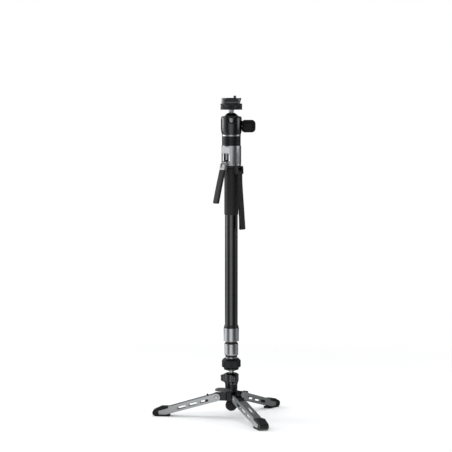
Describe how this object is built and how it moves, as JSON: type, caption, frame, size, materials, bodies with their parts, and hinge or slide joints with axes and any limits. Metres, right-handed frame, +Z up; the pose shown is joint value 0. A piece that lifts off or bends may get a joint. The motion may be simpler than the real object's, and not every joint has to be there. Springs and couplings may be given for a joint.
{
  "type": "camera monopod",
  "caption": "Self-standing camera monopod with folding feet, a tilting base joint, telescopic column, lever grip, strap and ball head with a quick clamp.",
  "frame": {"origin": "the point of the floor under the column's axis", "axes": "+Z up along the column, +X towards the head knob, -Y towards the notch of the ball head and the viewer"},
  "size_m": [0.2856, 0.3095, 0.704],
  "materials": {
    "silver": "fine satin anodised",
    "tube_grey": "dark anodised",
    "leg_silver": "satin anodised",
    "black_metal": "satin black anodised",
    "ring_grey": "satin black anodised",
    "pedal_grey": "satin grey anodised",
    "ball_black": "polished black anodised",
    "steel": "polished turned steel",
    "black_plastic": "matte black",
    "nylon": "natural nylon",
    "grip_rubber": "matte black",
    "shoe_rubber": "matte black",
    "webbing": "woven black"
  },
  "bodies": {
    "base": {"base_hub": "black_metal", "ball_foot": "shoe_rubber", "leg_pins": "steel", "pedal_pin": "steel", "pedal_spring": "steel"},
    "leg_left": {"leg_left": "leg_silver", "latch_left": "black_plastic", "shoe_left": "shoe_rubber"},
    "leg_front": {"leg_front": "leg_silver", "latch_front": "black_plastic", "shoe_front": "shoe_rubber"},
    "leg_rear": {"leg_rear": "leg_silver", "latch_rear": "black_plastic", "shoe_rear": "shoe_rubber"},
    "pedal": {"pedal": "pedal_grey"},
    "plunger": {"brake_plunger": "steel"},
    "tilt_ring": {"tilt_lock_ring": "ring_grey"},
    "tilt_seat": {"ball_seat": "nylon"},
    "tilt_ball": {"tilt_ball": "steel", "pan_nut": "steel"},
    "column_lower": {"pan_coupling": "black_metal", "pan_skirt": "black_metal", "pan_cap": "steel", "tube_3": "tube_grey", "tube_3_guide": "nylon"},
    "section_2": {"tube_2": "tube_grey", "collar_2": "silver", "collar_2_cap": "black_plastic", "collar_2_bush": "black_plastic", "tube_2_guide": "nylon"},
    "section_1": {"tube_1": "tube_grey", "collar_1": "silver", "collar_1_cap": "black_plastic", "collar_1_bush": "black_plastic", "grip": "grip_rubber", "grip_ring": "black_plastic", "lever_housing": "silver", "lever_cover": "silver", "lever_pin": "steel", "lever_spring": "steel", "strap_lug": "black_plastic", "top_collar": "black_metal", "head_base": "silver"},
    "release": {"release_rod": "steel"},
    "lever": {"trigger_lever": "silver", "lever_blade": "black_plastic"},
    "strap": {"strap": "webbing"},
    "head": {"head_housing": "black_metal"},
    "knob": {"head_knob": "black_plastic", "knob_shaft": "steel"},
    "ball_side": {"ball_cup": "nylon"},
    "ball": {"head_ball": "ball_black"},
    "platform": {"ball_stem": "steel", "clamp_body": "black_metal"},
    "clamp_ring": {"clamp_ring": "black_metal"},
    "jaw": {"clamp_jaw": "black_metal"},
    "plate": {"camera_plate": "black_metal", "plate_pad": "grip_rubber"},
    "camera_screw": {"camera_screw": "steel"}
  },
  "joints": [
    {"name": "fold_left", "type": "hinge", "parent": "base", "child": "leg_left", "pos_m": [-0.03239, 0.00369, 0.044], "axis": [0.1132, 0.9936, 0], "range_deg": [0, 100]},
    {"name": "fold_front", "type": "hinge", "parent": "base", "child": "leg_front", "pos_m": [0.013, -0.0299, 0.044], "axis": [-0.9171, -0.3987, 0], "range_deg": [0, 100]},
    {"name": "fold_rear", "type": "hinge", "parent": "base", "child": "leg_rear", "pos_m": [0.01939, 0.02621, 0.044], "axis": [0.8039, -0.5948, 0], "range_deg": [0, 100]},
    {"name": "pedal_press", "type": "hinge", "parent": "base", "child": "pedal", "pos_m": [-0.00596, -0.00852, 0.0615], "axis": [0.8192, -0.5736, 0], "range_deg": [0, 12], "stiffness_Nm_per_rad": 0.5, "springref_deg": -5.73},
    {"name": "brake_slide", "type": "slide", "parent": "base", "child": "plunger", "axis": [0, 0, 1], "range_m": [0, 0.00147]},
    {"name": "tilt_lock_turn", "type": "hinge", "parent": "base", "child": "tilt_ring", "pos_m": [0, 0, 0.087], "axis": [0, 0, 1], "range_deg": [0, 60]},
    {"name": "tilt_direction", "type": "hinge", "parent": "base", "child": "tilt_seat", "pos_m": [0, 0, 0.087], "axis": [0, 0, 1], "continuous": true},
    {"name": "column_tilt", "type": "hinge", "parent": "tilt_seat", "child": "tilt_ball", "pos_m": [0, 0, 0.087], "axis": [0, -1, 0], "range_deg": [-20, 20]},
    {"name": "column_pan", "type": "hinge", "parent": "tilt_ball", "child": "column_lower", "pos_m": [0, 0, 0.1083], "axis": [0, 0, 1], "continuous": true},
    {"name": "lower_tube_slide", "type": "slide", "parent": "column_lower", "child": "section_2", "axis": [0, 0, 1], "range_m": [0, 0.32]},
    {"name": "upper_tube_slide", "type": "slide", "parent": "section_2", "child": "section_1", "axis": [0, 0, 1], "range_m": [0, 0.32]},
    {"name": "lever_squeeze", "type": "hinge", "parent": "section_1", "child": "lever", "pos_m": [-0.01375, -0.01238, 0.5579], "axis": [0.6691, -0.7431, 0], "range_deg": [0, 15], "stiffness_Nm_per_rad": 1.2, "springref_deg": -5.73},
    {"name": "release_slide", "type": "slide", "parent": "section_1", "child": "release", "axis": [0, 0, 1], "range_m": [0, 0.00361]},
    {"name": "strap_swing", "type": "hinge", "parent": "section_1", "child": "strap", "pos_m": [0.01701, -0.01427, 0.5379], "axis": [-0.6428, -0.766, 0], "range_deg": [0, 70]},
    {"name": "head_pan", "type": "hinge", "parent": "section_1", "child": "head", "pos_m": [0, 0, 0.6194], "axis": [0, 0, 1], "continuous": true},
    {"name": "ball_lock_turn", "type": "hinge", "parent": "head", "child": "knob", "pos_m": [0.0228, 0, 0.6379], "axis": [1, 0, 0], "range_deg": [0, 150]},
    {"name": "head_side_tilt", "type": "hinge", "parent": "head", "child": "ball_side", "pos_m": [0, 0, 0.6499], "axis": [0, 1, 0], "range_deg": [-24, 24]},
    {"name": "head_front_tilt", "type": "hinge", "parent": "ball_side", "child": "ball", "pos_m": [0, 0, 0.6499], "axis": [-1, 0, 0], "range_deg": [-90, 28]},
    {"name": "clamp_spin", "type": "hinge", "parent": "ball", "child": "platform", "pos_m": [0, 0, 0.6684], "axis": [0, 0, 1], "continuous": true},
    {"name": "clamp_ring_turn", "type": "hinge", "parent": "platform", "child": "clamp_ring", "pos_m": [0, 0, 0.6734], "axis": [0, 0, 1], "range_deg": [0, 60]},
    {"name": "jaw_slide", "type": "slide", "parent": "platform", "child": "jaw", "axis": [1, 0, 0], "range_m": [0, 0.0021]},
    {"name": "plate_slide", "type": "slide", "parent": "platform", "child": "plate", "axis": [0, 1, 0], "range_m": [0, 0.042]},
    {"name": "camera_screw_turn", "type": "hinge", "parent": "plate", "child": "camera_screw", "pos_m": [0.0074, 0, 0.699], "axis": [0, 0, 1], "continuous": true}
  ],
  "couplings": [
    {"joint": "brake_slide", "follows": "pedal_press", "m_per_rad": 0.007},
    {"joint": "release_slide", "follows": "lever_squeeze", "m_per_rad": 0.0138},
    {"joint": "jaw_slide", "follows": "clamp_ring_turn", "m_per_rad": 0.002}
  ]
}
